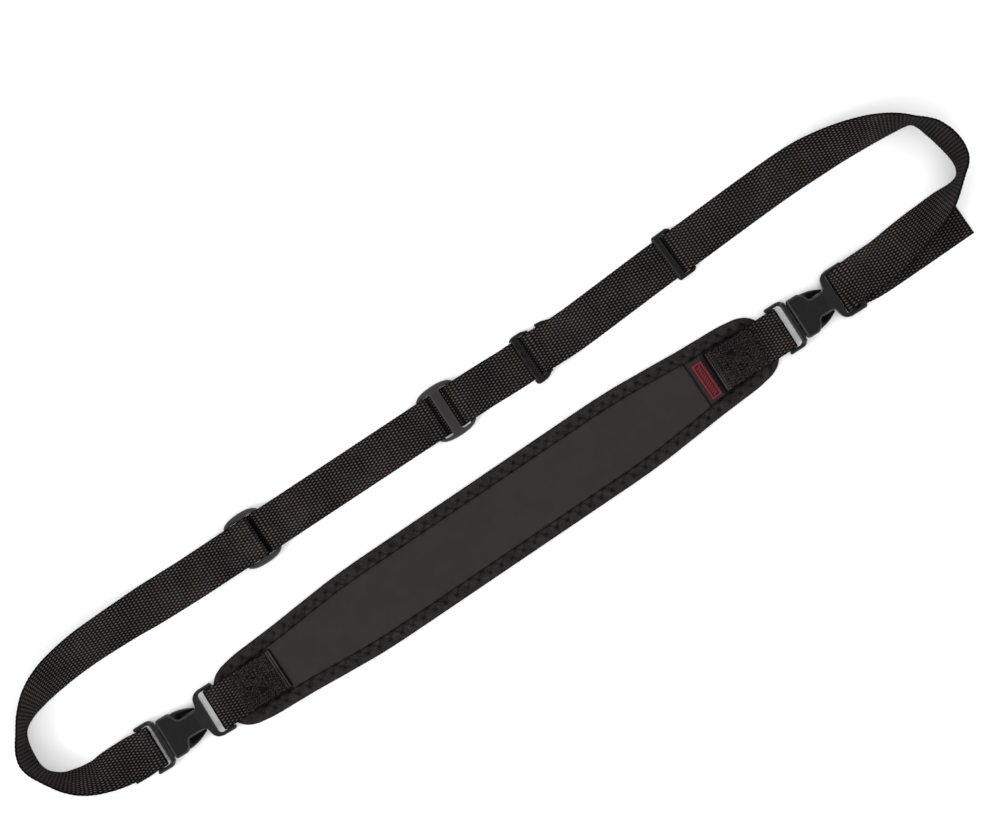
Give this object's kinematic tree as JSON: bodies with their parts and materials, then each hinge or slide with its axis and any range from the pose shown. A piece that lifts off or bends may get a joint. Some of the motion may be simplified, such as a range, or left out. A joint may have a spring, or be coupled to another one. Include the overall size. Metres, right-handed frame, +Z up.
{
  "type": "camera neck strap",
  "caption": "Padded camera neck strap lying flat as a closed loop, with side release buckles, webbing runs and sliding adjusters.",
  "frame": {"origin": "the middle of the laid-out strap's footprint, on the surface that it lies on", "axes": "+X along the longest side of the footprint, towards the end with the adjusting buckle; +Z up from the surface"},
  "size_m": [0.572, 0.406, 0.026],
  "materials": {
    "pad_edge_fabric": "napped black jersey over neoprene foam",
    "pad_panel_grip": "matte dark grey non-slip sheet",
    "label_fabric": "woven black strip with a plain red figure",
    "tab_webbing": "black webbing with close zigzag stitching",
    "strap_webbing": "brown-black ribbed webbing",
    "buckle_plastic": "satin moulded black",
    "slider_plastic": "satin moulded dark grey",
    "adjuster_plastic": "glossy moulded black"
  },
  "bodies": {
    "root": {"pad_body": "pad_edge_fabric", "pad_panel": "pad_panel_grip", "label": "label_fabric", "pad_tab_left": "tab_webbing", "pad_tab_right": "tab_webbing", "buckle_left_female": "buckle_plastic", "buckle_left_male": "buckle_plastic", "buckle_right_female": "buckle_plastic", "buckle_right_male": "buckle_plastic", "triglide_sewn": "slider_plastic", "triglide_middle": "slider_plastic", "ladder_adjuster": "adjuster_plastic", "strap_keeper": "adjuster_plastic", "webbing_left": "strap_webbing", "webbing_right": "strap_webbing"}
  },
  "joints": []
}
